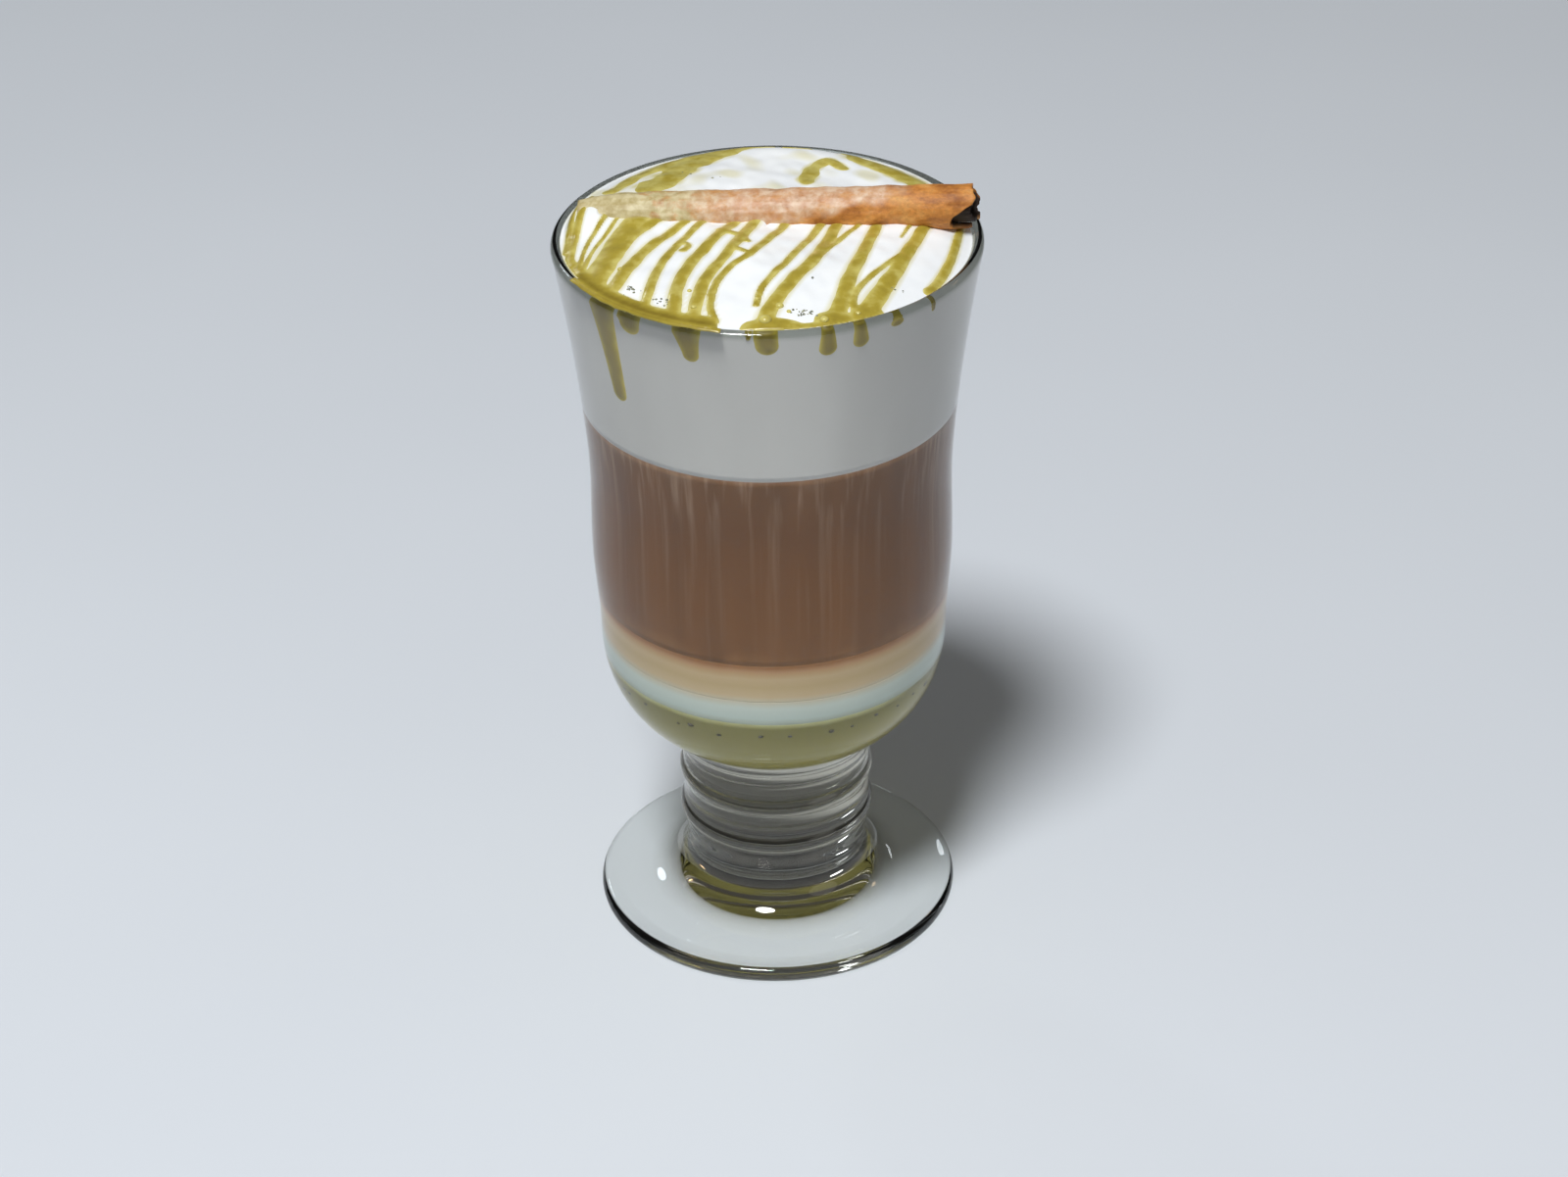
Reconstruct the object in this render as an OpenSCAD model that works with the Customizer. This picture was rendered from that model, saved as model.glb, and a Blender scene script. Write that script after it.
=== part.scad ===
// Layered latte in a clear footed glass, topped with foam and a cinnamon stick.
// Millimetres, +Z up. The origin is on the glass's axis, at the surface it stands on.
// From the bottom: foot, short stem with two beads, bowl; and in the bowl syrup,
// milk, a blended layer, coffee with milk, and foam that carries the stick.

/* [Glass] */
// Height of the glass, foot to rim
glass_h = 146; // [120:1:190]
// Outer diameter of the mouth
rim_d = 80; // [66:0.5:100]
// Outer diameter at the slight waist above the middle
waist_d = 69.2; // [60:0.2:84]
// Height of the waist
waist_z = 98; // [92:1:118]
// Outer diameter at the fullest part of the lower bowl
belly_d = 69.6; // [60:0.2:84]
// Height of the fullest part
belly_z = 83; // [76:1:90]
// Outer diameter where the bowl starts to round in
shoulder_d = 67.5; // [58:0.2:82]
// Height where the bowl starts to round in
shoulder_z = 63; // [58:1:72]
// Height of the underside of the bowl, at the axis
bowl_z = 38; // [34:0.5:46]
// Thickness of the bowl's wall
wall_t = 2.3; // [1.4:0.1:3.6]
// Thickness of glass under the drink, at the axis
floor_t = 4.3; // [3:0.1:8]

/* [Foot and stem] */
// Outer diameter of the foot
foot_d = 71.8; // [60:0.2:88]
// Thickness of the foot at its rounded edge
foot_edge_t = 3.4; // [2.4:0.1:5]
// Diameter of the shallow hollow under the foot
hollow_d = 54; // [30:1:56]
// Depth of the hollow under the foot
hollow_t = 1; // [0.4:0.1:2]
// Diameter of the stem between its beads
stem_d = 37.2; // [28:0.2:44]
// How far the beads stand out from the stem
bead_t = 0.7; // [0.3:0.05:1.4]
// Height of each bead
bead_h = 3.2; // [2:0.1:4.4]
// Height of the lower bead's middle
low_bead_z = 20.8; // [18:0.1:22]
// Height of the upper bead's middle
high_bead_z = 29.6; // [27.5:0.1:32]
// Diameter of the waist between the foot and the lower bead
neck_d = 35.6; // [26:0.2:42]
// Height of that waist
neck_z = 12.6; // [10:0.1:15]

/* [Drink] */
// Height of the top of the syrup
syrup_z = 58.9; // [50:0.1:62]
// Height of the top of the milk
milk_z = 64.1; // [63.5:0.1:68]
// Height of the top of the blended layer
blend_z = 72.5; // [69:0.1:80]
// Height of the top of the coffee, where the foam starts
coffee_z = 113; // [90:0.5:130]
// How far below the rounded lip the foam meets the glass
foam_drop = 0.2; // [0.1:0.1:4]
// How high the foam rises above that line in the middle
foam_dome = 4; // [1:0.1:8]
// How uneven the foam's top is
foam_swell = 0.35; // [0:0.05:0.6]

/* [Cinnamon stick] */
// Length of the stick
stick_l = 74.6; // [60:0.5:110]
// Diameter of the rolled stick
stick_d = 8.4; // [6:0.1:11]
// Thickness of the bark
bark_t = 1; // [0.6:0.05:1.4]
// Gap between the turns of the roll
roll_gap = 0.4; // [0.2:0.05:0.8]
// Turns of bark in the roll
roll_turns = 1.6; // [1.2:0.05:1.8]
// How far behind the glass's axis the middle of the stick lies
stick_back = 3.9; // [-8:0.1:12]
// Angle by which the stick's sunk end is turned to the back
stick_turn = 3.8; // [-10:0.1:10]
// Height of the sunk end's middle above the foam's edge
stick_float = 2.6; // [0:0.1:4]
// Clearance between the sunk end and the glass
stick_gap = 1; // [0.6:0.1:3]
// Clearance between the stick and the rim that it lies over
rest_gap = 0.1; // [0.05:0.05:0.3]
// Slant of the broken end
break_angle = 28; // [0:1:40]

/* [Hidden] */
$fn = 96;

rim_r = rim_d / 2;
waist_r = waist_d / 2;
belly_r = belly_d / 2;
shoulder_r = shoulder_d / 2;
foot_r = foot_d / 2;
hollow_r = hollow_d / 2;
stem_r = stem_d / 2;
neck_r = neck_d / 2;
stick_r = stick_d / 2;

// The inside of the bowl
floor_z = bowl_z + floor_t;
lip_r = wall_t / 2;
lip_z = glass_h - lip_r;
foam_z = lip_z - foam_drop;

// The foot's top, inside its rounded edge, and its flat ring
edge_round = foot_edge_t / 2;
foot_top_r = foot_r - 1;
foot_top_z = foot_edge_t + 0.6;
ring_r = foot_r - edge_round * 0.8;

// Facets of the foam, around and across the top
foam_around = 60;
foam_rings = 9;

// Smooth passage from a to b as t runs from 0 to 1
function ease(a, b, t) = a + (b - a) * (1 - cos(180 * t)) / 2;

// Rounded bottom of the bowl: radius at height z, for a given top radius and lowest point
function rounded(z, top_r, low_z) =
    let (w = min(1, max(0, (shoulder_z - z) / (shoulder_z - low_z))))
    top_r * pow(1 - w * w, 1 / 3);

// Outer radius of the bowl above its rounded bottom
function side_r(z) =
    z < belly_z ? ease(shoulder_r, belly_r, (z - shoulder_z) / (belly_z - shoulder_z)) :
    z < waist_z ? ease(belly_r, waist_r, (z - belly_z) / (waist_z - belly_z)) :
    waist_r + (rim_r - waist_r) * pow((z - waist_z) / (lip_z - waist_z), 1.5);

function outer_r(z) = z < shoulder_z ? rounded(z, shoulder_r, bowl_z) : side_r(z);
function inner_r(z) =
    z < shoulder_z ? rounded(z, shoulder_r - wall_t, floor_z) : side_r(z) - wall_t;

// Points of the inner wall between two levels, both included
function wall_points(low, high) =
    let (n = max(2, ceil((high - low) / 2.5)))
    [for (i = [0:n]) let (z = low + (high - low) * i / n) [inner_r(z), z]];

// Points of the inner floor, from the axis up to a level, closest where the floor is flattest
function floor_points(high) =
    [for (i = [0:16]) let (z = floor_z + (high - floor_z) * pow(i / 16, 2.6)) [inner_r(z), z]];

// The whole inner wall, with a point at every level of the drink
inside = concat(
    floor_points(syrup_z),
    wall_points(syrup_z, milk_z),
    wall_points(milk_z, blend_z),
    wall_points(blend_z, coffee_z),
    wall_points(coffee_z, foam_z),
    [[inner_r(lip_z), lip_z]]
);

// Height at which the rounded bottom has the stem's radius
joint_z = shoulder_z - (shoulder_z - bowl_z) * sqrt(1 - pow(stem_r / shoulder_r, 3));

// A bead around the stem
function bead(mid_z) =
    [for (i = [-6:6]) [stem_r + bead_t * (1 - pow(i / 6, 2)), mid_z + bead_h / 2 * i / 6]];

module glass() {
    under = [for (i = [0:8]) [hollow_r * i / 8, hollow_t * (1 - pow(i / 8, 2))]];
    edge = [for (a = [-70:20:90]) [
        foot_r - edge_round + edge_round * cos(a), edge_round + edge_round * sin(a)]];
    flare = [for (q = [90:-7.5:0]) [
        neck_r + (foot_top_r - edge_round - neck_r) * (1 - cos(q)),
        foot_top_z + (neck_z - foot_top_z) * (1 - sin(q))]];
    neck = [for (i = [1:5]) let (t = i / 5)
        [ease(neck_r, stem_r, t), neck_z + (low_bead_z - bead_h / 2 - neck_z) * t]];
    bottom = [for (i = [1:20]) let (z = joint_z + (shoulder_z - joint_z) * pow(i / 20, 1.4))
        [outer_r(z), z]];
    side = [for (i = [1:30]) let (z = shoulder_z + (lip_z - shoulder_z) * i / 30) [outer_r(z), z]];
    lip = [for (a = [15:15:165]) [
        outer_r(lip_z) - lip_r + lip_r * cos(a), lip_z + lip_r * sin(a)]];
    turned_inside = [for (i = [len(inside) - 1:-1:0]) inside[i]];
    color("aliceblue", 0.35)
    rotate_extrude()
    polygon(concat(under, [[ring_r, 0]], edge, flare, neck, bead(low_bead_z), bead(high_bead_z),
        [[stem_r, joint_z]], bottom, side, lip, turned_inside));
}

// A flat layer of the drink, from its wall points
module layer(points) {
    low = points[0][1];
    high = points[len(points) - 1][1];
    rotate_extrude()
    polygon(concat([[0, low]], points, [[0, high]]));
}

module syrup() {
    color("olivedrab")
    layer(floor_points(syrup_z));
}

module milk() {
    color("azure")
    layer(wall_points(syrup_z, milk_z));
}

module blend() {
    color("tan")
    layer(wall_points(milk_z, blend_z));
}

module coffee() {
    color("sienna")
    layer(wall_points(blend_z, coffee_z));
}

// Height of the foam at share s of the wall's radius and angle a: a dome with soft swells
function foam_top(s, a) =
    foam_z + foam_dome * (1 - pow(s, 4)) * (1 - 0.12 * s * cos(a - 20))
    + foam_swell * (1 - pow(s, 6)) * (sin(3 * a + 40) * s + cos(430 * s - 2 * a));

module foam_block() {
    edge_r = inner_r(foam_z);
    wall = wall_points(coffee_z, foam_z);
    side_rings = [for (p = wall, k = [0:foam_around - 1]) let (a = 360 * k / foam_around)
        [p[0] * cos(a), p[0] * sin(a), p[1]]];
    top_rings = [for (i = [1:foam_rings - 1]) let (s = 1 - pow(i / foam_rings, 1.3))
        for (k = [0:foam_around - 1]) let (a = 360 * k / foam_around)
        [edge_r * s * cos(a), edge_r * s * sin(a), foam_top(s, a)]];
    rings = len(wall) + foam_rings - 1;
    low_mid = rings * foam_around;
    high_mid = low_mid + 1;
    last = (rings - 1) * foam_around;
    skin = [for (i = [0:rings - 2], k = [0:foam_around - 1])
        let (here = i * foam_around + k, next = i * foam_around + (k + 1) % foam_around)
        for (face = [[here, here + foam_around, next], [next, here + foam_around, next + foam_around]])
        face];
    floor_fan = [for (k = [0:foam_around - 1]) [low_mid, k, (k + 1) % foam_around]];
    top_fan = [for (k = [0:foam_around - 1]) [high_mid, last + (k + 1) % foam_around, last + k]];
    polyhedron(
        concat(side_rings, top_rings, [[0, 0, coffee_z], [0, 0, foam_top(0, 0)]]),
        concat(skin, floor_fan, top_fan));
}

module foam() {
    color("white")
    difference() {
        foam_block();
        place_stick() linear_extrude(stick_l) roll_outline();
    }
}

// The stick lies from its sunk end, just inside the glass, up to the opposite side of the rim.
// Its own frame: z along the stick, x down, y to the back.
sunk_z = foam_z + stick_float;
sunk_back = stick_back + inner_r(foam_z) * sin(stick_turn);
sunk_x = -sqrt(pow(inner_r(sunk_z - stick_r) - stick_gap, 2) - pow(sunk_back + stick_r, 2));
rest_x = rim_r - lip_r;
stick_rise = atan2(glass_h + stick_r + rest_gap - sunk_z, rest_x - sunk_x);

module place_stick() {
    translate([sunk_x, sunk_back, sunk_z])
    rotate([0, 90 - stick_rise, -stick_turn])
    children();
}

// Outer radius of the roll at angle a: from the loose edge below, the bark goes round the
// front and over the top, then dips under its own edge by one turn
function roll_r(a) =
    stick_r - (bark_t + roll_gap) * (floor(a / 360) + ease(0, 1, max(0, a % 360 / 180 - 1)));
function roll_points(from, to, inset) =
    let (n = ceil(abs(to - from) / 12))
    [for (i = [0:n]) let (a = from + (to - from) * i / n)
        (roll_r(a) - inset) * [cos(a), -sin(a)]];

module roll_outline() {
    polygon(roll_points(0, 359, 0));
}

module cinnamon_stick() {
    end = 360 * roll_turns;
    color("peru")
    place_stick()
    difference() {
        linear_extrude(stick_l)
        polygon(concat(roll_points(0, end, 0), roll_points(end, 0, bark_t)));
        translate([0, 0, stick_l - stick_r * tan(break_angle)])
        rotate([break_angle, 0, 0])
        translate([-2 * stick_d, -2 * stick_d, 0])
        cube(4 * stick_d);
    }
}

glass();
syrup();
milk();
blend();
coffee();
foam();
cinnamon_stick();
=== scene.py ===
import math

import bmesh
import bpy
import numpy as np
from mathutils import Matrix, Vector


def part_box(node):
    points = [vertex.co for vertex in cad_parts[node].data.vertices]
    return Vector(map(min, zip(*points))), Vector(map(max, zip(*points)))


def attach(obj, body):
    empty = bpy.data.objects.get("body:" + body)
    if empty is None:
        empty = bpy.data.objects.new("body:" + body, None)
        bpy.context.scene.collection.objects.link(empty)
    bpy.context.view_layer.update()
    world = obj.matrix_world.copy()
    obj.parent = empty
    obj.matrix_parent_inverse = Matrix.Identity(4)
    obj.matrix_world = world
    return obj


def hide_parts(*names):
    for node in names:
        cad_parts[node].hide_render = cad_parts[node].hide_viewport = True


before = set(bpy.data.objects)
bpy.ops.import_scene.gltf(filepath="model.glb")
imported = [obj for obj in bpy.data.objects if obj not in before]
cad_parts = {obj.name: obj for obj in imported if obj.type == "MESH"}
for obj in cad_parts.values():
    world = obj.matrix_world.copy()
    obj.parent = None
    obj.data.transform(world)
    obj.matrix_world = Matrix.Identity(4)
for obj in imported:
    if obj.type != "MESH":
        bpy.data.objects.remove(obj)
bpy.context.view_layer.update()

# ---- The glass ----
# One pressed piece of clear glass: a flared bowl with a waist, on a short solid stem with two rings and a
# round foot that is slightly hollow below. The lip is fire-polished round. It is one closed turned body,
# with its sizes in mm.

MM = 0.001


def span_of(node):
    """Lowest and highest corner of a node of the model, in mm."""
    low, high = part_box(node)
    return low / MM, high / MM


glass_high = span_of("glass")[1]
syrup_low, syrup_high = span_of("syrup")
rim_r = glass_high.x
glass_h = glass_high.z
wall_t = 2.3
waist_r, waist_z = 34.6, 98.0
belly_r, belly_z = 34.8, 83.0
shoulder_r, shoulder_z = 33.75, 63.0
bowl_z = 38.0
floor_z = syrup_low.z
lip_r = wall_t / 2
lip_z = glass_h - lip_r
foot_r, foot_round = 35.9, 1.7
foot_top_r, foot_top_z = 34.9, 4.0
hollow_r, hollow_t = 27.0, 1.0
stem_r, neck_r, neck_z = 18.6, 17.8, 12.6
flare_tuck = 1.25
ring_h, ring_t = 3.2, 0.7
ring_heights = (20.8, 29.6)
TURNS = 256


def ease(start, end, share):
    """Smooth passage from start to end as share runs from 0 to 1."""
    return start + (end - start) * (1 - np.cos(np.pi * share)) / 2


def rounded(z, top_r, low_z):
    """Radius at height z of the bowl's rounded bottom."""
    depth = np.clip((shoulder_z - z) / (shoulder_z - low_z), 0, 1)
    return top_r * np.cbrt(1 - depth ** 2)


def side_r(z):
    """Outer radius of the bowl above its rounded bottom."""
    shoulder = ease(shoulder_r, belly_r, (z - shoulder_z) / (belly_z - shoulder_z))
    waist = ease(belly_r, waist_r, (z - belly_z) / (waist_z - belly_z))
    flare_share = np.clip((z - waist_z) / (lip_z - waist_z), 0, None)
    flare = waist_r + (rim_r - waist_r) * flare_share ** 1.5
    return np.where(z < belly_z, shoulder, np.where(z < waist_z, waist, flare))


def outer_r(z):
    """Outer radius of the bowl at a height."""
    return np.where(z < shoulder_z, rounded(z, shoulder_r, bowl_z), side_r(z))


def inner_r(z):
    """Inner radius of the bowl at a height."""
    return np.where(z < shoulder_z, rounded(z, shoulder_r - wall_t, floor_z), side_r(z) - wall_t)


def piece_from(name, points, faces, finish):
    """A smooth-shaded mesh piece from points in mm."""
    mesh = bpy.data.meshes.new(name)
    mesh.from_pydata((np.asarray(points, float) * MM).tolist(), [], faces)
    mesh.validate()
    piece = bpy.data.objects.new(name, mesh)
    bpy.context.scene.collection.objects.link(piece)
    mesh.shade_smooth()
    mesh.materials.append(finish)
    return piece


def belt(start, next_start, count):
    """Quads between two closed rings of points that start at the given numbers."""
    return [(start + k, start + (k + 1) % count, next_start + (k + 1) % count, next_start + k)
            for k in range(count)]


def round_axis(r, z, angles):
    """Points at a radius and a height, at each of the angles round the glass's axis."""
    return np.stack([r * np.cos(angles), r * np.sin(angles), z + 0 * angles], -1)


def closed_mesh(rings, bottom_z, top_z):
    """Points and faces of a closed body through rings of points, with one point on the axis at each end."""
    count = len(rings[0])
    points = np.vstack(rings + [[0, 0, bottom_z], [0, 0, top_z]])
    bottom = len(rings) * count
    last = bottom - count
    faces = [face for start in range(0, last, count) for face in belt(start, start + count, count)]
    faces += [(bottom, (k + 1) % count, k) for k in range(count)]
    faces += [(bottom + 1, last + k, last + (k + 1) % count) for k in range(count)]
    return points, faces


def turned(name, outline, finish):
    """A closed body turned round the glass's axis. The outline runs from the axis to the axis."""
    angles = np.linspace(0, 2 * np.pi, TURNS, endpoint=False)
    rings = [round_axis(r, z, angles) for r, z in outline[1:-1]]
    points, faces = closed_mesh(rings, outline[0][1], outline[-1][1])
    return piece_from(name, points, faces, finish)


def new_finish(name):
    """An empty finish and its main shader."""
    finish = bpy.data.materials.new(name)
    finish.use_nodes = True
    return finish, finish.node_tree.nodes["Principled BSDF"]


def paint(red, green, blue):
    """A colour given as on a colour card, 0 to 255, in the form that shaders take."""
    shares = np.array([red, green, blue]) / 255
    linear = np.where(shares <= 0.04045, shares / 12.92, ((shares + 0.055) / 1.055) ** 2.4)
    return (*linear.tolist(), 1.0)


def place_in_mm(finish, stretch=(1, 1, 1)):
    """The place on the piece in mm, with each direction stretched for the pattern."""
    nodes, links = finish.node_tree.nodes, finish.node_tree.links
    place = nodes.new("ShaderNodeTexCoord")
    scale = nodes.new("ShaderNodeMapping")
    scale.inputs["Scale"].default_value = [s / MM for s in stretch]
    links.new(place.outputs["Object"], scale.inputs["Vector"])
    return scale.outputs["Vector"]


def ramp(finish, value, stops):
    """Colours that follow a value, each stop a position and a colour."""
    made = finish.node_tree.nodes.new("ShaderNodeValToRGB")
    steps = made.color_ramp.elements
    while len(steps) < len(stops):
        steps.new(1.0)
    for step, (position, colour) in zip(steps, stops):
        step.position = position
        step.color = colour if len(colour) == 4 else (*colour, 1.0)
    finish.node_tree.links.new(value, made.inputs["Fac"])
    return made.outputs["Color"]


def height_share(finish, low_z, high_z):
    """How far up the layer a place is, from 0 to 1."""
    nodes, links = finish.node_tree.nodes, finish.node_tree.links
    split = nodes.new("ShaderNodeSeparateXYZ")
    links.new(place_in_mm(finish), split.inputs[0])
    share = nodes.new("ShaderNodeMapRange")
    share.inputs["From Min"].default_value = low_z
    share.inputs["From Max"].default_value = high_z
    links.new(split.outputs["Z"], share.inputs["Value"])
    return share.outputs["Result"]


def clear_glass_finish():
    """Clear glass, with painted shade: grey tones on the foot's rise, the stem and the bowl's bottom, and a
    green-grey tone at the lip.
    """
    finish, shader = new_finish("clear_glass")
    nodes, links = finish.node_tree.nodes, finish.node_tree.links
    # Painted shade: these darker tones stand in for the dark seen through the stem and foot and in the lip.
    clear, lip = (0.965, 0.972, 0.965, 1), (0.52, 0.58, 0.52, 1)
    base, thick = (0.38, 0.365, 0.33, 1), (0.54, 0.515, 0.43, 1)
    steps = [(foot_top_z + 0.4, clear), (foot_top_z + 2.4, base), (neck_z - 0.6, thick),
             (bowl_z - 1, thick), (bowl_z + 8, clear), (lip_z - 0.45, clear), (lip_z + 0.45, lip)]
    painted_shade_tone = ramp(finish, height_share(finish, 0, glass_h), [(z / glass_h, colour) for z, colour in steps])
    links.new(painted_shade_tone, shader.inputs["Base Color"])
    shader.inputs["Roughness"].default_value = 0.0
    shader.inputs["IOR"].default_value = 1.5
    shader.inputs["Transmission Weight"].default_value = 1.0
    lamp_light = nodes.new("ShaderNodeBsdfTransparent")
    lamp_light.inputs["Color"].default_value = (0.95, 0.96, 0.955, 1)
    ray = nodes.new("ShaderNodeLightPath")
    pick = nodes.new("ShaderNodeMixShader")
    links.new(ray.outputs["Is Shadow Ray"], pick.inputs[0])
    links.new(shader.outputs[0], pick.inputs[1])
    links.new(lamp_light.outputs[0], pick.inputs[2])
    links.new(pick.outputs[0], nodes["Material Output"].inputs["Surface"])
    return finish


def arc(centre_r, centre_z, radius, start, end, steps):
    """Points of an arc in the outline's plane, angles in degrees."""
    angles = np.radians(np.linspace(start, end, steps))
    return [(centre_r + radius * math.cos(a), centre_z + radius * math.sin(a)) for a in angles]


def glass_outline():
    """Half a cut through the glass, from the axis below, out and up round the lip, and down to the axis."""
    joint_z = shoulder_z - (shoulder_z - bowl_z) * math.sqrt(1 - (stem_r / shoulder_r) ** 3)
    under = [(hollow_r * i / 12, hollow_t * (1 - (i / 12) ** 2)) for i in range(13)]
    edge = arc(foot_r - foot_round, foot_round, foot_round, -85, 90, 22)
    flare_angles = np.radians(np.linspace(90, 0, 40))[1:]
    flare_span = foot_top_r - foot_round - neck_r
    flare = [(neck_r + flare_span * (1 - math.cos(q)),
              foot_top_z + (neck_z - foot_top_z) * (1 - math.sin(q)) ** flare_tuck) for q in flare_angles]
    neck_end = ring_heights[0] - ring_h / 2
    neck_steps = np.linspace(0, 1, 16)[1:]
    neck = [(float(ease(neck_r, stem_r, t)), neck_z + (neck_end - neck_z) * t) for t in neck_steps]
    ring_steps = np.linspace(-1, 1, 27)
    rings = [(stem_r + ring_t * (1 - t * t), middle + ring_h / 2 * t)
             for middle in ring_heights for t in ring_steps][1:]
    bottom = joint_z + (shoulder_z - joint_z) * np.linspace(0, 1, 34) ** 1.4
    side = np.linspace(shoulder_z, lip_z, 60)[1:]
    lip = arc(rim_r - lip_r, lip_z, lip_r, 0, 180, 17)[1:-1]
    down = np.linspace(lip_z, shoulder_z, 60)
    well = floor_z + (shoulder_z - floor_z) * np.linspace(1, 0, 40)[1:] ** 2.6
    outside = [(float(outer_r(z)), float(z)) for z in np.concatenate([bottom, side])]
    inside = [(float(inner_r(z)), float(z)) for z in np.concatenate([down, well])]
    return under + edge + flare + neck + rings + outside + lip + inside


glass = turned("footed_glass", glass_outline(), clear_glass_finish())
glass.visible_diffuse = False
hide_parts("glass")
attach(glass, "root")

# ---- The drink ----
# Four layers poured one on the other up to the foam: thick green syrup, a little clean milk, a band where
# milk and coffee mix, and milky coffee. Each fills the glass from wall to wall, and reaches just into it.

INTO_WALL = 0.15


def filling(name, low_z, high_z, finish):
    """A layer of drink between two heights, a little wider than the inside of the glass."""
    share = np.linspace(0, 1, 30)
    heights = low_z + (high_z - low_z) * (share ** 2.2 if low_z <= floor_z else share)
    wall = [(float(inner_r(z)) + INTO_WALL, float(z)) for z in heights]
    return turned(name, [(0, low_z), *wall, (0, high_z)], finish)


def speckle(finish, place, per_mm, detail=3.0, roughness=0.55):
    """Cloudy variation of about the given number of patches per mm."""
    noise = finish.node_tree.nodes.new("ShaderNodeTexNoise")
    noise.inputs["Scale"].default_value = per_mm
    noise.inputs["Detail"].default_value = detail
    noise.inputs["Roughness"].default_value = roughness
    finish.node_tree.links.new(place, noise.inputs["Vector"])
    return noise.outputs["Fac"]


def grey(value):
    """A neutral tone from 0 to 1."""
    return (value, value, value, 1.0)


def stir(finish, share, first, second, way="MIX"):
    """Two colours or sockets mixed by a share."""
    made = finish.node_tree.nodes.new("ShaderNodeMix")
    made.data_type = "RGBA"
    made.blend_type = way
    for value, socket in ((share, made.inputs[0]), (first, made.inputs[6]), (second, made.inputs[7])):
        if isinstance(value, bpy.types.NodeSocket):
            finish.node_tree.links.new(value, socket)
        else:
            socket.default_value = value
    return made.outputs[2]


def arith(finish, operation, first, second):
    """Two numbers or sockets put together by a sum, a difference or a product."""
    made = finish.node_tree.nodes.new("ShaderNodeMath")
    made.operation = operation
    for value, socket in ((first, made.inputs[0]), (second, made.inputs[1])):
        if isinstance(value, bpy.types.NodeSocket):
            finish.node_tree.links.new(value, socket)
        else:
            socket.default_value = value
    return made.outputs[0]


def drink_finish(name, low_z, high_z, stops, waver, wet=0.4):
    """A layer's colours by height, made a little uneven. Gives the finish, its shader and that height."""
    finish, shader = new_finish(name)
    links = finish.node_tree.links
    shader.inputs["Roughness"].default_value = wet
    shader.inputs["Specular IOR Level"].default_value = 0.06
    cloud = speckle(finish, place_in_mm(finish, (1, 1, 0.35)), 0.09)
    share = height_share(finish, low_z, high_z)
    shift = arith(finish, "MULTIPLY", arith(finish, "SUBTRACT", cloud, 0.5), waver)
    shifted = arith(finish, "ADD", share, shift)
    links.new(ramp(finish, shifted, stops), shader.inputs["Base Color"])
    return finish, shader, shifted


levels = [floor_z, syrup_high.z] + [span_of(node)[1].z for node in ("milk", "blend", "coffee")]

# The syrup is painted lighter towards its bottom: painted light that stands for light coming through it.
syrup_finish = drink_finish("syrup", levels[0], levels[1], [
    (0.0, paint(170, 162, 98)), (0.3, paint(150, 141, 78)), (0.7, paint(143, 135, 72)),
    (0.93, paint(134, 129, 74)), (1.0, paint(156, 158, 116))], 0.12, 0.25)[0]

milk_finish = drink_finish("milk", levels[1], levels[2], [
    (0.0, paint(172, 180, 162)), (0.25, paint(190, 203, 194)), (0.7, paint(196, 206, 196)),
    (1.0, paint(196, 188, 164))], 0.25)[0]

blend_finish = drink_finish("blend", levels[2], levels[3], [
    (0.0, paint(196, 188, 164)), (0.15, paint(198, 176, 138)), (0.4, paint(190, 166, 124)),
    (0.62, paint(196, 172, 132)), (0.82, paint(184, 146, 104)), (0.93, paint(156, 108, 66)),
    (1.0, paint(136, 94, 52))], 0.12)[0]


def coffee_finish():
    """Milky coffee, with fine upright threads of foam and milk sinking from its top."""
    finish, shader, share = drink_finish("coffee", levels[3], levels[4], [
        (0.0, paint(136, 94, 52)), (0.06, paint(123, 81, 41)), (0.3, paint(116, 75, 37)),
        (0.7, paint(107, 69, 36)), (0.96, paint(111, 75, 44)), (1.0, paint(121, 90, 64))], 0.3)
    links = finish.node_tree.links
    colour = shader.inputs["Base Color"].links[0].from_socket
    threads = speckle(finish, place_in_mm(finish, (1, 1, 0.02)), 0.8, 2.0)
    broad = speckle(finish, place_in_mm(finish, (1, 1, 0.05)), 0.16, 1.0)
    thin = ramp(finish, threads, [(0.5, grey(0)), (0.74, grey(1))])
    fading = ramp(finish, share, [(0.1, grey(0.15)), (0.7, grey(0.45)), (1.0, grey(1.0))])
    pale = stir(finish, stir(finish, 1.0, thin, fading, "MULTIPLY"), colour, paint(150, 122, 98))
    shade = ramp(finish, broad, [(0.3, grey(0.86)), (0.7, grey(1.06))])
    links.new(stir(finish, 1.0, pale, shade, "MULTIPLY"), shader.inputs["Base Color"])
    return finish


for node, low_z, high_z, finish in (
        ("syrup", levels[0], levels[1], syrup_finish),
        ("milk", levels[1], levels[2], milk_finish),
        ("blend", levels[2], levels[3], blend_finish),
        ("coffee", levels[3], levels[4], coffee_finish())):
    layer = filling(node + "_layer", low_z, high_z, finish)
    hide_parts(node)
    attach(layer, "root")

# Dark crumbs of the syrup's nuts float just below its top and show against the glass.
rng = np.random.default_rng(7)
CRUMBS = 34
crumb_depth = 2.0


def balls(name, centres, radii, finish, detail=2, flatten=1.0):
    """Many small round things joined in one mesh."""
    mould = bmesh.new()
    bmesh.ops.create_icosphere(mould, subdivisions=detail, radius=1.0)
    ball = np.array([v.co for v in mould.verts])
    sides = [[v.index for v in face.verts] for face in mould.faces]
    mould.free()
    points = np.vstack([np.array(c) + ball * r * (1, 1, flatten) for c, r in zip(centres, radii)])
    faces = [[i + n * len(ball) for i in side] for n in range(len(centres)) for side in sides]
    return piece_from(name, points, faces, finish)


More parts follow.
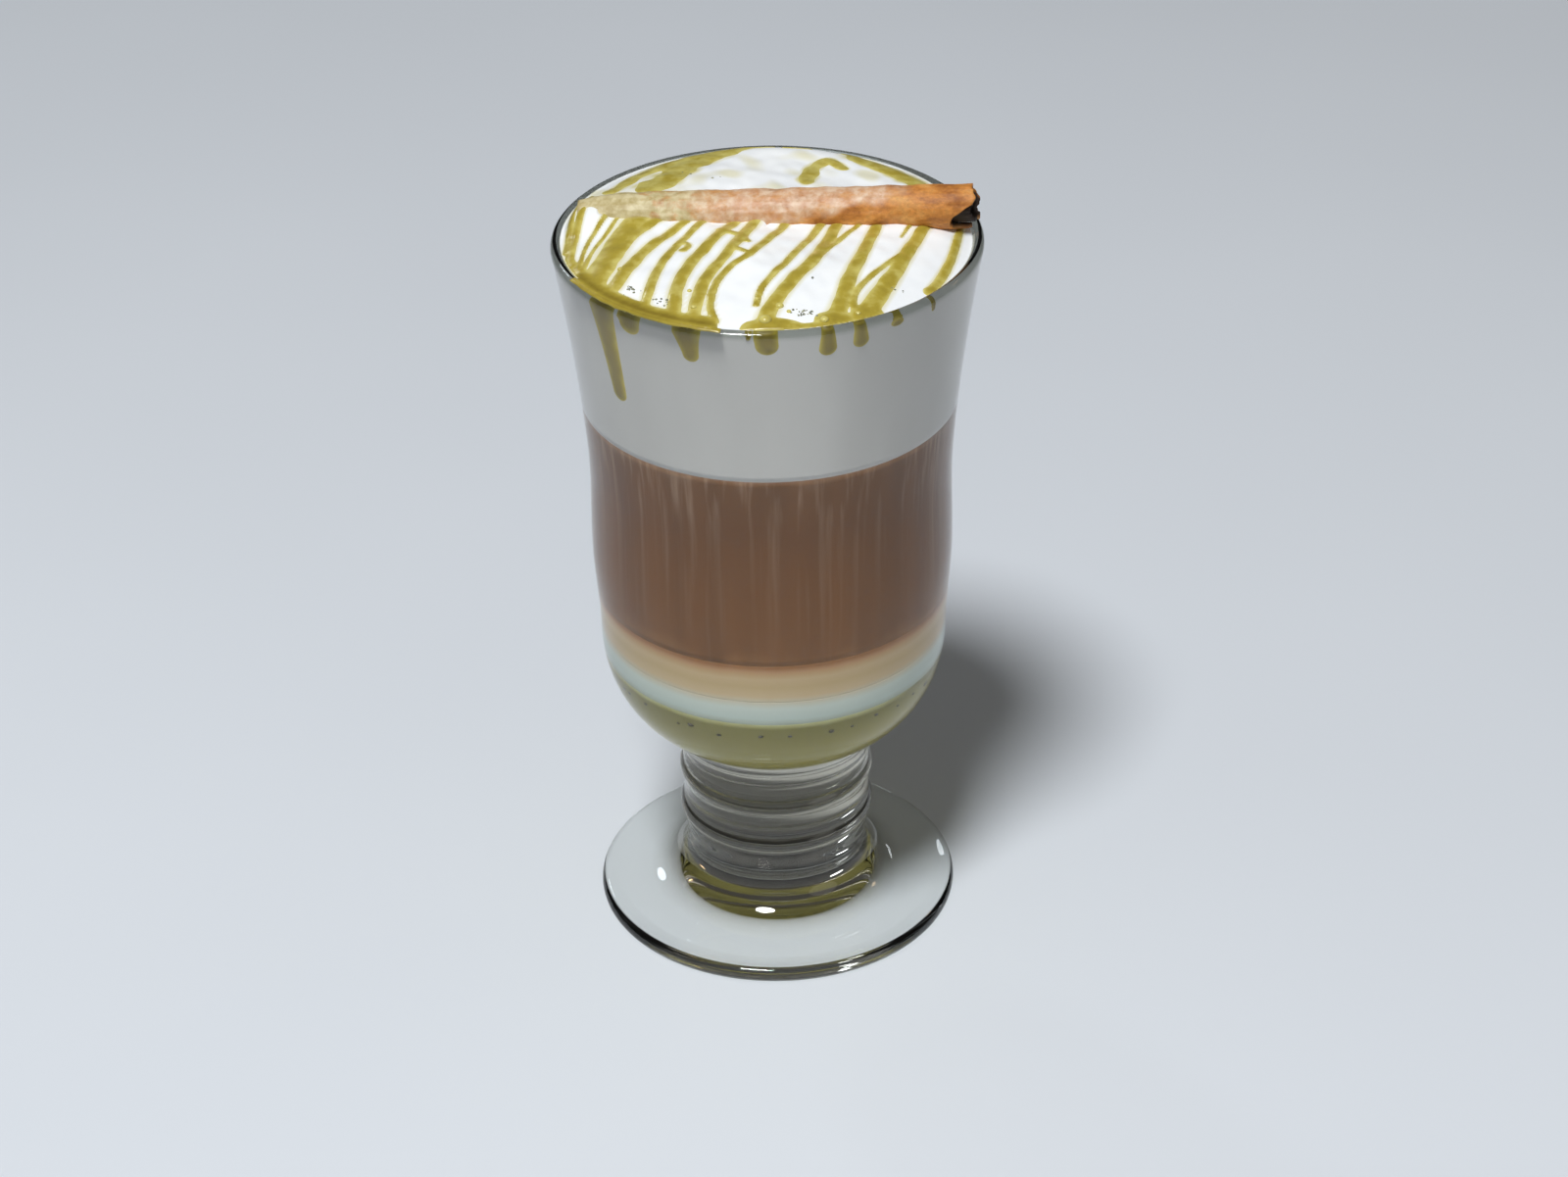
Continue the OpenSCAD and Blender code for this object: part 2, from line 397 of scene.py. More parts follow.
def crumb_finish():
    """Soaked dark nut."""
    finish, shader = new_finish("syrup_crumbs")
    cloud = speckle(finish, place_in_mm(finish), 2.0)
    colour = ramp(finish, cloud, [(0.3, paint(44, 40, 24)), (0.7, paint(84, 76, 46))])
    finish.node_tree.links.new(colour, shader.inputs["Base Color"])
    shader.inputs["Roughness"].default_value = 0.6
    return finish


crumb_angles = np.arange(0, 2 * np.pi, 2 * np.pi / CRUMBS) + rng.uniform(-0.08, 0.08, CRUMBS)
crumb_heights = levels[1] - crumb_depth - rng.uniform(0, 1.6, CRUMBS)
crumb_r = inner_r(crumb_heights) + INTO_WALL + 0.1
crumbs = balls("syrup_crumbs", round_axis(crumb_r, crumb_heights, crumb_angles),
               rng.uniform(0.35, 0.75, CRUMBS), crumb_finish(), 1, 0.6)
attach(crumbs, "root")

# ---- The foam ----
# Steamed milk foam, white and wet, spooned on up to the lip and domed above it. It is uneven, lies in a low
# fold along both ends of the stick's front side, and its side lies flat against the glass, painted grey as
# shade.

foam_drop = 0.2
foam_z = lip_z - foam_drop
foam_r = float(inner_r(foam_z))
foam_dome, foam_swell = 4.0, 0.35
back_swell, fold_rise, heap_rise = 2.3, 0.95, 3.0
FOAM_AROUND, FOAM_RINGS = 360, 120

# Where the stick lies: it floats in the foam at the left and lies over the rim at the right.
stick_l, stick_r = 74.6, 4.2
stick_turn = math.radians(3.8)
stick_back, stick_float, stick_gap, rest_gap = 3.9, 2.6, 1.0, 0.1
sunk_z = foam_z + stick_float
sunk_y = stick_back + foam_r * math.sin(stick_turn)
sunk_x = -math.sqrt((float(inner_r(sunk_z - stick_r)) - stick_gap) ** 2 - (sunk_y + stick_r) ** 2)
stick_rise = math.atan2(glass_h + stick_r + rest_gap - sunk_z, rim_r - lip_r - sunk_x)


def ripple(x, y, length, seed):
    """Gentle unevenness between -1 and 1, of about the given wave length in mm."""
    waves = np.random.default_rng(seed)
    total = np.zeros_like(x, dtype=float)
    for _ in range(7):
        way, start = waves.uniform(0, 2 * np.pi, 2)
        pace = 2 * np.pi / (length * waves.uniform(0.7, 1.5))
        total += np.sin(pace * (x * math.cos(way) + y * math.sin(way)) + start)
    return total / 3.5


def along_stick(x, y):
    """Distance along the stick from its sunk end, and across it to the back."""
    dx, dy = x - sunk_x, y - sunk_y
    along = dx * math.cos(stick_turn) - dy * math.sin(stick_turn)
    across = dx * math.sin(stick_turn) + dy * math.cos(stick_turn)
    return along, across


def edge_lift(angle):
    """How far the foam climbs up the lip's inner curve. It stays lowest on the right."""
    degrees = np.degrees(angle)
    return 1.1 - 1.05 * np.exp(-((degrees + 12) / 34) ** 2)


def foam_height(x, y):
    """Height of the foam's top: a dome with swells, a fold before the stick, and the stick's own bed."""
    share = np.minimum(np.hypot(x, y) / foam_r, 1.0)
    angle = np.arctan2(y, x)
    height = foam_z + foam_dome * (1 - share ** 4) * (1 - 0.12 * share * np.cos(angle - math.radians(20)))
    turn = np.sin(3 * angle + math.radians(40)) * share + np.cos(math.radians(430) * share - 2 * angle)
    height += edge_lift(angle) * share ** 5
    height += back_swell * np.exp(-((np.degrees(angle) - 88) / 34) ** 2) * share ** 4 * (1 - share ** 16)
    edge_calm = 1 - share ** 6
    height += foam_swell * edge_calm * turn
    height += edge_calm * (0.16 * ripple(x, y, 9.0, 3) + 0.06 * ripple(x, y, 3.2, 4))
    along, across = along_stick(x, y)
    fold = fold_rise - 0.011 * along - fold_rise * np.exp(-((along - 33) / 17) ** 2)
    fold += 0.12 * ripple(x, y, 11.0, 5)
    height += edge_calm * fold * np.exp(-((across + stick_r + 0.7) / 2.3) ** 2)
    heap = np.hypot((x - sunk_x - 1.0) / 6.0, (y - sunk_y - 0.4) / 5.4)
    height += (heap_rise + 0.3 * ripple(x, y, 5.0, 6)) * np.exp(-heap ** 3) * (1 - share ** 34)
    axis_z = sunk_z + along * math.tan(stick_rise)
    deep = stick_r - 0.5
    bed = axis_z - np.sqrt(np.clip(deep ** 2 - across ** 2, 0, None))
    under_stick = (np.abs(across) < deep - 0.5) & (along > 4)
    return np.where(under_stick, np.minimum(height, bed), height)


def carry(piece, name, values):
    """Keeps one value for each point on the piece, for its finish."""
    kept = piece.data.attributes.new(name, "FLOAT", "POINT")
    kept.data.foreach_set("value", np.asarray(values, np.float32).ravel())


def carried(finish, name):
    """The value that the piece keeps for each of its points."""
    carrier = finish.node_tree.nodes.new("ShaderNodeAttribute")
    carrier.attribute_name = name
    return carrier.outputs["Fac"]


def foam_finish():
    """White wet foam. Its side against the glass is painted grey, as shade."""
    finish, shader = new_finish("foam")
    nodes, links = finish.node_tree.nodes, finish.node_tree.links
    cloud = speckle(finish, place_in_mm(finish), 0.12, 4.0)
    top = ramp(finish, cloud, [(0.35, paint(242, 246, 250)), (0.65, paint(250, 253, 255))])
    broad = speckle(finish, place_in_mm(finish, (1, 1, 0.25)), 0.05, 2.0)
    # Painted shade: the side against the glass takes a grey copy of the white.
    side = ramp(finish, broad, [(0.35, paint(189, 188, 184)), (0.65, paint(199, 198, 194))])
    pale = stir(finish, carried(finish, "stain"), top, paint(212, 202, 122))
    links.new(stir(finish, carried(finish, "shaded_side"), pale, side), shader.inputs["Base Color"])
    shader.inputs["Roughness"].default_value = 0.38
    shader.inputs["Specular IOR Level"].default_value = 0.3
    bump = nodes.new("ShaderNodeBump")
    bump.inputs["Strength"].default_value = 0.35
    bump.inputs["Distance"].default_value = 0.05 * MM
    links.new(speckle(finish, place_in_mm(finish), 2.4, 4.0, 0.7), bump.inputs["Height"])
    links.new(bump.outputs[0], shader.inputs["Normal"])
    return finish


def foam_mesh():
    """Closed block of foam: floor on the coffee, side in the wall, and the uneven top as rings of points.

    The last number says how many of the points lie on the side against the glass, which is painted in
    shade.
    """
    angles = np.linspace(0, 2 * np.pi, FOAM_AROUND, endpoint=False)
    low = levels[4]
    rings = [round_axis(float(inner_r(z)) + INTO_WALL, z, angles) for z in np.linspace(low, foam_z, 30)]
    for climb in (0.25, 0.5, 0.75, 1.0):
        z = foam_z + edge_lift(angles) * climb
        edge_r = rim_r - lip_r - np.sqrt(lip_r ** 2 - np.clip(z - lip_z, 0, None) ** 2) + INTO_WALL
        rings.append(round_axis(edge_r, z, angles))
    shaded_side = len(rings) * FOAM_AROUND
    for i in range(1, FOAM_RINGS):
        r = edge_r * (1 - (i / FOAM_RINGS) ** 1.15)
        rings.append(round_axis(r, foam_height(r * np.cos(angles), r * np.sin(angles)), angles))
    points, faces = closed_mesh(rings, low, float(foam_height(np.zeros(1), np.zeros(1))[0]))
    return points, faces, shaded_side


foam_points, foam_faces, foam_side_count = foam_mesh()
foam = piece_from("foam_top", foam_points, foam_faces, foam_finish())
carry(foam, "shaded_side", np.arange(len(foam_points)) < foam_side_count)
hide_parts("foam")
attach(foam, "root")

# Clusters of small open bubbles in the foam near the rim, where the sauce has thinned it.


def bubble_finish():
    """Thin wet film of a bubble, with the dark of its hollow painted on as shade."""
    finish, shader = new_finish("bubble_film")
    cloud = speckle(finish, place_in_mm(finish), 1.5)
    colour = ramp(finish, cloud, [(0.4, paint(92, 96, 78)), (0.62, paint(176, 176, 150))])
    finish.node_tree.links.new(colour, shader.inputs["Base Color"])
    shader.inputs["Roughness"].default_value = 0.08
    shader.inputs["Specular IOR Level"].default_value = 0.6
    return finish


def cluster(middle, spread, count):
    """Places of a cluster of bubbles, densest in its middle."""
    (x, y), (wide, deep) = middle, spread
    return [(x + wide * a, y + deep * b) for a, b in rng.normal(0, 0.45, (count, 2))]


bubble_places = (cluster((-24.3, -23.5), (1.6, 2.2), 12) + cluster((-18.8, -28.3), (2.4, 1.4), 12)
                 + cluster((6.2, -33.2), (3.4, 1.2), 26) + cluster((7.8, -23.1), (0.4, 0.3), 2)
                 + cluster((-12.0, 21.0), (5.0, 4.0), 4) + cluster((24.0, -24.0), (2.0, 2.0), 4))
bubble_x, bubble_y = np.array(bubble_places).T
bubble_r = rng.uniform(0.1, 0.3, len(bubble_places))
bubbles = balls("foam_bubbles", np.column_stack([bubble_x, bubble_y, foam_height(bubble_x, bubble_y)]),
                bubble_r, bubble_finish(), 2, 0.8)
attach(bubbles, "root")

# ---- The sauce ----
# Yellow-green nut sauce drizzled across the foam from a spoon, as strings that sag towards the front rim.
# There they run together in pools, and at the front left over the lip. Each edge is rounded by the sauce's
# own pull.

# One string a line: points that it runs through from the stick to the rim, half its width at both ends.
STRINGS = [
    ([(-34.6, 11.0), (-36.3, 2.5), (-36.7, -6.5)], 0.6, 0.9),
    ([(-32.4, 10.0), (-34.8, 1.5), (-36.0, -8.0), (-35.6, -12.0)], 0.8, 1.2),
    ([(-29.5, 3.0), (-32.6, -4.0), (-34.4, -13.5)], 0.7, 0.55),
    ([(-28.0, 1.0), (-31.4, -7.0), (-33.9, -15.5)], 0.5, 0.6),
    ([(-23.0, 3.0), (-26.8, -5.0), (-29.2, -13.0), (-31.5, -19.0)], 2.3, 3.2),
    ([(-18.5, 3.0), (-23.5, -3.0), (-26.5, -9.0)], 1.0, 1.2),
    ([(-14.0, 2.0), (-20.5, -7.0), (-24.8, -15.5), (-27.6, -22.0)], 0.8, 1.7),
    ([(-11.8, 0.5), (-16.6, -9.0), (-19.8, -17.5), (-21.9, -28.5)], 0.9, 1.15),
    ([(-16.8, -8.2), (-15.2, -7.8), (-14.4, -9.4), (-15.3, -10.8)], 0.45, 1.0),
    ([(-6.5, -1.0), (-10.8, -9.5), (-14.2, -17.2), (-16.2, -24.5), (-16.8, -32.0)], 1.3, 1.5),
    ([(-2.5, -1.0), (-6.9, -12.5), (-10.1, -19.4), (-12.0, -25.1), (-13.2, -33.0)], 1.25, 1.5),
    ([(-8.6, -3.6), (-5.0, -6.2), (-3.6, -9.0)], 0.9, 0.8),
    ([(3.0, -1.5), (-1.2, -10.5), (-3.4, -15.0), (-6.9, -18.8), (-9.4, -24.5), (-10.3, -31.0),
      (-9.4, -35.3)], 1.0, 0.85),
    ([(-6.6, -11.4), (-3.4, -14.2)], 0.7, 0.7),
    ([(9.3, -2.5), (4.0, -15.6), (1.3, -21.0), (-1.2, -26.0), (-2.2, -31.0)], 1.0, 0.75),
    ([(12.3, -3.0), (8.4, -16.0), (4.4, -23.4), (1.2, -30.0), (-0.8, -35.5)], 1.2, 1.8),
    ([(16.3, -2.0), (11.9, -9.3), (7.6, -18.0)], 0.6, 0.8),
    ([(19.9, -2.5), (17.4, -12.1), (14.6, -22.0), (13.0, -29.3), (11.2, -35.0)], 1.1, 1.9),
    ([(28.9, -1.5), (25.3, -11.7), (22.3, -20.2), (20.0, -25.7), (17.3, -32.0)], 1.0, 2.2),
    ([(24.2, -12.6), (19.6, -19.2), (16.4, -24.6), (15.1, -29.0), (15.6, -33.2)], 0.65, 0.8),
    ([(26.4, -1.0), (24.4, -6.0)], 0.7, 0.4),
    ([(35.2, -1.5), (33.4, -10.8), (31.0, -18.6), (29.2, -23.0)], 0.75, 1.2),
    ([(-34.6, -13.5), (-31.7, -19.5), (-27.2, -25.5), (-21.6, -30.2), (-16.0, -33.2),
      (-11.0, -34.9)], 1.5, 1.5),
]
# Wide thin smears behind the stick
SMEARS = [
    ([(-5.5, 35.5), (-11.5, 30.0), (-16.5, 23.5), (-21.0, 16.0)], 2.8, 4.0),
    ([(-9.5, 34.8), (-17.5, 30.5), (-24.0, 24.0), (-29.0, 17.5)], 2.0, 2.0),
    ([(14.6, 25.0), (12.0, 28.4), (9.0, 25.0), (7.6, 18.0)], 1.2, 1.9),
    ([(17.0, 30.5), (22.5, 26.0), (27.5, 20.5), (31.5, 13.5)], 2.3, 3.2),
    ([(15.0, 34.0), (17.5, 31.5)], 0.8, 0.8),
    ([(3.5, 35.5), (8.5, 35.0)], 0.6, 0.7),
    ([(-4.5, 35.5), (1.5, 36.0)], 0.7, 0.5),
]
# Small pools at the strings' ends: angle, radius, half its size along and across the rim, and thickness
POOLS = [
    (-89.5, 37.3, 5.6, 2.6, 0.4),
    (-79.0, 37.6, 4.0, 1.0, 0.2),
    (-71.8, 37.2, 3.6, 3.4, 0.4),
    (-61.8, 37.2, 3.0, 3.0, 0.4),
    (-38.6, 37.2, 1.6, 1.4, 0.3),
]
# The large pool before the lip: from and to which angle, radius, half width, and rise over the lip
BIG_POOL = (-154, -106, 36.8, 3.2, 0.1)
# The angles between which it has run over the lip
OVERFLOW = (-153, -104)
# Half the width of the net that the sauce's sheet is cut from, and its mesh
SAUCE_REACH, SAUCE_STEP = 39.9, 0.3
# How far the strings have run out, as a share of the widths above
SPREAD = 0.86
# The sheet ends where it has sunk this far into the foam. Further away it stays at the second depth.
SUNK, NO_SAUCE = -0.14, -0.9
# Thickness at which the sauce shows its deepest colour
FULL_DEPTH = 0.8


def curve_through(corners, steps=10):
    """Smooth line through a few corners, and the share of its length at each point."""
    corners = np.array(corners, float)
    ends = np.vstack([2 * corners[0] - corners[1], corners, 2 * corners[-1] - corners[-2]])
    line = []
    for a, b, c, d in zip(ends, ends[1:], ends[2:], ends[3:]):
        for t in np.linspace(0, 1, steps, endpoint=False):
            line.append(0.5 * (2 * b + (c - a) * t + (2 * a - 5 * b + 4 * c - d) * t * t
                               + (3 * b - a - 3 * c + d) * t ** 3))
    line.append(corners[-1])
    line = np.array(line)
    return line, np.linspace(0, 1, len(line))


def start_under_stick(corners):
    """A string that begins before the stick is drawn on under it."""
    (ax, ay), (bx, by) = corners[:2]
    reach = 4.0 / math.hypot(ax - bx, ay - by) if -3.5 < ay < 3.5 else 0
    return [(ax + (ax - bx) * reach, ay + (ay - by) * reach)] * (reach > 0) + list(corners)


def nearness(x, y, corners, start_width, end_width):
    """1 on the middle of a string of sauce, 0 on its edge, below 0 outside."""
    line, share = curve_through(start_under_stick(corners))
    best = np.full(x.shape, 99.0)
    for (ax, ay), (bx, by), at_a, at_b in zip(line, line[1:], share, share[1:]):
        length2 = (bx - ax) ** 2 + (by - ay) ** 2
        t = np.clip(((x - ax) * (bx - ax) + (y - ay) * (by - ay)) / length2, 0, 1)
        width = SPREAD * (start_width + (end_width - start_width) * (at_a + (at_b - at_a) * t))
        off = np.hypot(x - ax - t * (bx - ax), y - ay - t * (by - ay)) / width
        best = np.minimum(best, off)
    return 1 - best ** 2


def ground(x, y):
    """Height of what the sauce lies on: the foam, and outside it the glass's round lip."""
    r = np.hypot(x, y)
    lip = lip_z + np.sqrt(np.clip(lip_r ** 2 - (r - rim_r + lip_r) ** 2, 0, None))
    return np.where(r < foam_r + 0.5, foam_height(x, y), lip)


def join_smoothly(first, second, softness=0.07):
    """The higher of two thicknesses, run together where they meet."""
    return softness * np.logaddexp(first / softness, second / softness)


def sauce_thickness(x, y):
    """How thick the sauce lies at a place. Below 0 there is none."""
    waver = 0.14 * ripple(x, y, 5.0, 11)
    thickness = np.full(x.shape, NO_SAUCE)
    for corners, start_width, end_width in STRINGS:
        near = nearness(x, y, corners, start_width, end_width) + waver
        depth = 0.13 + 0.05 * min(start_width + end_width, 3.0)
        thickness = join_smoothly(thickness, np.clip(near, -4, 1) * depth)
    for corners, start_width, end_width in SMEARS:
        near = nearness(x, y, corners, start_width, end_width) + 3 * waver
        thickness = join_smoothly(thickness, np.clip(near, -6, 1) * 0.14)
    r, angle = np.hypot(x, y), np.degrees(np.arctan2(y, x))
    floor = ground(x, y)
    for middle, ring, half_along, half_across, most in POOLS:
        off = np.hypot((angle - middle) * math.radians(ring) / half_along, (r - ring) / half_across)
        thickness = join_smoothly(thickness, np.clip(1 - off ** 2 + waver, -4, 1) * most)
    start, end, ring, width, level = BIG_POOL
    past = np.maximum(np.maximum(start - angle, angle - end), 0) * math.radians(ring)
    off = np.hypot((r - ring) / width, past / 1.1)
    top = glass_h + level + 0.35 * (1 - off ** 2)
    thickness = join_smoothly(thickness, np.clip(top - floor, -1.5, 2.6))
    over_lip = (angle > OVERFLOW[0]) & (angle < OVERFLOW[1])
    edge_r = np.where(over_lip, 39.3, foam_r + 0.45)
    return np.minimum(thickness, (edge_r - r) * 1.6)


def sheet_between(name, top, bottom, keep, finish, depth):
    """Closed skin from two grids of points, over the kept cells, with a wall round its outline."""
    rows, columns = keep.shape
    corner = np.arange((rows + 1) * (columns + 1)).reshape(rows + 1, columns + 1)
    count = corner.size
    a, b = corner[:-1, :-1][keep], corner[1:, :-1][keep]
    c, d = corner[1:, 1:][keep], corner[:-1, 1:][keep]
    quads = np.column_stack([a, b, c, d])
    faces = [quads, quads[:, ::-1] + count]
    edges = np.vstack([np.column_stack(pair) for pair in ((a, b), (b, c), (c, d), (d, a))])
    codes = edges[:, 0] * count + edges[:, 1]
    lone = edges[~np.isin(codes, edges[:, 1] * count + edges[:, 0])]
    faces.append(np.column_stack([lone[:, 1], lone[:, 0], lone[:, 0] + count, lone[:, 1] + count]))
    faces = np.vstack(faces)
    points = np.vstack([top.reshape(-1, 3), bottom.reshape(-1, 3)])
    used, renumbered = np.unique(faces, return_inverse=True)
    piece = piece_from(name, points[used], renumbered.reshape(faces.shape).tolist(), finish)
    carry(piece, "depth", np.tile(depth.ravel(), 2)[used])
    return piece


def solid_keep(thickness):
    """The cells that have sauce at every corner, less those that touch another by a corner only."""
    wet = thickness > SUNK
    keep = wet[:-1, :-1] & wet[1:, :-1] & wet[1:, 1:] & wet[:-1, 1:]
    for _ in range(4):
        lone = keep[:-1, :-1] & keep[1:, 1:] & ~keep[1:, :-1] & ~keep[:-1, 1:]
        keep[:-1, :-1] &= ~lone
        lone = keep[1:, :-1] & keep[:-1, 1:] & ~keep[:-1, :-1] & ~keep[1:, 1:]
        keep[1:, :-1] &= ~lone
    return keep


def sauce_finish(name, thin, middle, thick, wet):
    """Wet sauce that is paler where it lies thin, by the depth that the piece carries."""
    finish, shader = new_finish(name)
    nodes, links = finish.node_tree.nodes, finish.node_tree.links
    cloud = speckle(finish, place_in_mm(finish), 0.4, 4.0)
    uneven = arith(finish, "MULTIPLY", arith(finish, "SUBTRACT", cloud, 0.5), 0.9)
    depth = arith(finish, "ADD", carried(finish, "depth"), uneven)
    links.new(ramp(finish, depth, [(0.0, thin), (0.3, middle), (0.9, thick)]), shader.inputs["Base Color"])
    shader.inputs["Roughness"].default_value = wet
    shader.inputs["Specular IOR Level"].default_value = 0.5
    shader.inputs["Coat Weight"].default_value = 0.25
    shader.inputs["Coat Roughness"].default_value = 0.06
    bump = nodes.new("ShaderNodeBump")
    bump.inputs["Strength"].default_value = 0.25
    bump.inputs["Distance"].default_value = 0.12 * MM
    links.new(speckle(finish, place_in_mm(finish), 0.8, 3.0), bump.inputs["Height"])
    links.new(bump.outputs[0], shader.inputs["Normal"])
    return finish


sauce_look = sauce_finish("sauce", paint(208, 197, 112), paint(174, 156, 58), paint(132, 114, 34), 0.3)
reach = np.arange(-SAUCE_REACH, SAUCE_REACH, SAUCE_STEP)
sauce_x, sauce_y = np.meshgrid(reach, reach, indexing="ij")
thickness = sauce_thickness(sauce_x, sauce_y)
base = ground(sauce_x, sauce_y)
sauce = sheet_between("sauce_on_foam", np.stack([sauce_x, sauce_y, base + np.maximum(thickness, -0.3)], -1),
                      np.stack([sauce_x, sauce_y, base - 0.35], -1), solid_keep(thickness), sauce_look,
                      np.clip(thickness / FULL_DEPTH, 0, 1))
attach(sauce, "root")

# The sauce soaks into the foam along its edges, and far round the smears behind the stick.
foam_x, foam_y = foam_points[:, 0], foam_points[:, 1]
soaked = np.zeros(len(foam_points))
for corners, start_width, end_width in STRINGS:
    near = nearness(foam_x, foam_y, corners, start_width, end_width)
    soaked = np.maximum(soaked, 0.6 * np.clip(near / 1.6 + 1, 0, 1))
for corners, start_width, end_width in SMEARS:
    near = nearness(foam_x, foam_y, corners, start_width, end_width) + 0.5 * ripple(foam_x, foam_y, 4.0, 13)
    soaked = np.maximum(soaked, 0.85 * np.clip((near + 1.0) / 1.4, 0, 1))
sunk_end = np.exp(-np.hypot((foam_x - sunk_x - 9.0) / 13.0, (foam_y - sunk_y - 3.6) / 6.5) ** 4)
mottled = np.clip(0.5 * ripple(foam_x, foam_y, 8.0, 14), 0, 0.45) * np.clip((foam_y - 8) / 6, 0, 1)
carry(foam, "stain", np.maximum(np.maximum(soaked, mottled), 0.45 * sunk_end))

# At the front left the sauce has run out over the round lip and ends in a swollen edge on its outer side.


def overflow_mesh():
    """A skin that lies on the lip, as rows across the lip's round from inside to outside."""
    angles = np.linspace(OVERFLOW[0] - 1.5, OVERFLOW[1] + 1.5, 170)
    off_middle = 2 * (angles - angles[0]) / (angles[-1] - angles[0]) - 1
    ends = np.sqrt(np.clip(1 - np.abs(off_middle) ** 3, 0, 1))
    reach_out = 68 + 24 * ends * (1 + 0.22 * ripple(angles * 0.6, 0 * angles, 4.0, 15))
    across = np.linspace(0, 1, 24)[:, None]
    way = np.radians(178 - (178 - 90) * (1 - ends) * 0.4 - (reach_out + 28) * across)
    stand = 0.34 * ends * np.clip(1 - (2 * across - 1) ** 4, 0, None) ** 0.6
    into_lip = 0.06
    skins = []
    for radius in (lip_r + stand, lip_r - into_lip + 0 * stand):
        r = rim_r - lip_r + radius * np.cos(way)
        skins.append(round_axis(r, lip_z + radius * np.sin(way), np.radians(angles)))
    return *skins, np.ones((len(across) - 1, len(angles) - 1), bool), 0.3 + stand + 0 * way


over_top, over_bottom, over_cells, over_depth = overflow_mesh()
overflow = sheet_between("sauce_over_lip", over_top, over_bottom, over_cells, sauce_look, over_depth)
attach(overflow, "root")

# Bubbles in the wet sauce near the rim, where it has run down and caught air: place and radius
SAUCE_BUBBLES = [
    (-0.6, -35.6, 1.15), (2.0, -31.4, 0.75), (9.8, -35.3, 0.8), (-14.0, -25.6, 0.45), (-26.6, -16.6, 0.5),
    (-13.2, -31.2, 0.5), (-10.3, -33.9, 0.4), (15.8, -33.0, 0.5), (-2.0, -29.4, 0.4), (3.6, -33.0, 0.45),
]
dot_x, dot_y, dot_r = np.array(SAUCE_BUBBLES).T
dot_z = ground(dot_x, dot_y) + np.maximum(sauce_thickness(dot_x, dot_y), 0)
sauce_bubbles = balls("sauce_bubbles", np.column_stack([dot_x, dot_y, dot_z]), dot_r, sauce_look, 3, 0.75)
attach(sauce_bubbles, "root")

# ---- Sauce that has run down inside the glass ----
# Some sauce went down between the foam and the glass as drips, which end in a round drop. It is seen
# through the wall and duller than the sauce on top, and its colours are painted darker as shade.

# One drip a line: angle at the rim and at its end, height of its end, half its width at the rim and end
DRIPS = [
    (-140.5, -138.6, 126.6, 3.6, 1.8),
    (-130.5, -130.0, 143.4, 3.4, 2.2),
    (-112.5, -111.5, 139.9, 3.2, 1.5),
    (-91.0, -90.6, 143.0, 2.2, 2.0),
    (-95.5, -95.5, 144.6, 0.9, 0.6),
    (-74.3, -74.2, 141.6, 0.9, 1.6),
    (-65.3, -64.8, 142.0, 0.9, 1.5),
    (-41.0, -40.6, 143.2, 0.9, 0.5),
]
# A drop by itself: angle, height, half its width and half its height
LONE_DROP = (-53.8, 143.6, 1.35, 0.75)
# How far a drip stands out from the foam towards the glass, and how deep its back lies in the foam
PROUD, INTO_FOAM = 0.34, 0.3
# Radius of the wall where the drips are
drip_r = 36.5


def drip_thickness(angle, z):
    """How far the sauce stands out between foam and glass. Below 0 there is none."""
    thickness = np.full(angle.shape, NO_SAUCE)
    per_degree = math.radians(drip_r)
    for top_angle, end_angle, end_z, top_width, end_width in DRIPS:
        share = np.clip((lip_z - z) / (lip_z - end_z), 0, 1)
        middle = top_angle + (end_angle - top_angle) * share
        width = top_width + (end_width - top_width) * np.sqrt(share)
        off = np.hypot((angle - middle) * per_degree / width, np.minimum(z - end_z, 0) / end_width)
        thickness = join_smoothly(thickness, np.clip(1 - off ** 2, -1.5, 1) * PROUD, 0.04)
    drop_angle, drop_z, drop_width, drop_height = LONE_DROP
    off = np.hypot((angle - drop_angle) * per_degree / drop_width, (z - drop_z) / drop_height)
    return join_smoothly(thickness, np.clip(1 - off ** 2, -1.5, 1) * PROUD, 0.04)


# Painted shade: the drips' colours are darker than those of the sauce on top.
drip_look = sauce_finish("sauce_behind_glass", paint(190, 173, 70), paint(166, 149, 38),
                         paint(130, 112, 12), 0.5)
drip_angles, drip_heights = np.meshgrid(np.arange(-152, -36, 0.32), np.arange(123.5, lip_z, 0.2),
                                        indexing="ij")
drip_t = drip_thickness(drip_angles, drip_heights)


def on_wall(stand):
    """The net of points over the inner wall, moved outwards by the given amount."""
    return round_axis(inner_r(drip_heights) + stand, drip_heights, np.radians(drip_angles))


drips = sheet_between("sauce_drips", on_wall(INTO_WALL + np.maximum(drip_t, -0.2)), on_wall(-INTO_FOAM),
                      solid_keep(drip_t), drip_look, np.clip(drip_t / PROUD, 0, 1))
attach(drips, "root")

# ---- The cinnamon stick ----
# A strip of dry bark, rolled one and a half times round. Its loose edge is below, its right end is broken
# off ragged over the rim. Foam and sauce have left a pale film on its top, thickest towards the sunk end.

bark_t, roll_gap, roll_turns = 1.0, 0.4, 1.6
# How much thicker the stick is in its middle, and how far it sags there
swelling, sag = 0.4, 0.4
ROUND_STEPS, LONG_STEPS = 170, 190


def roll_r(angle):
    """Outer radius of the roll at an angle in degrees, from the loose edge below, round the front."""
    turns = np.floor(angle / 360)
    return stick_r - (bark_t + roll_gap) * (turns + ease(0, 1, np.maximum(0, angle % 360 / 180 - 1)))


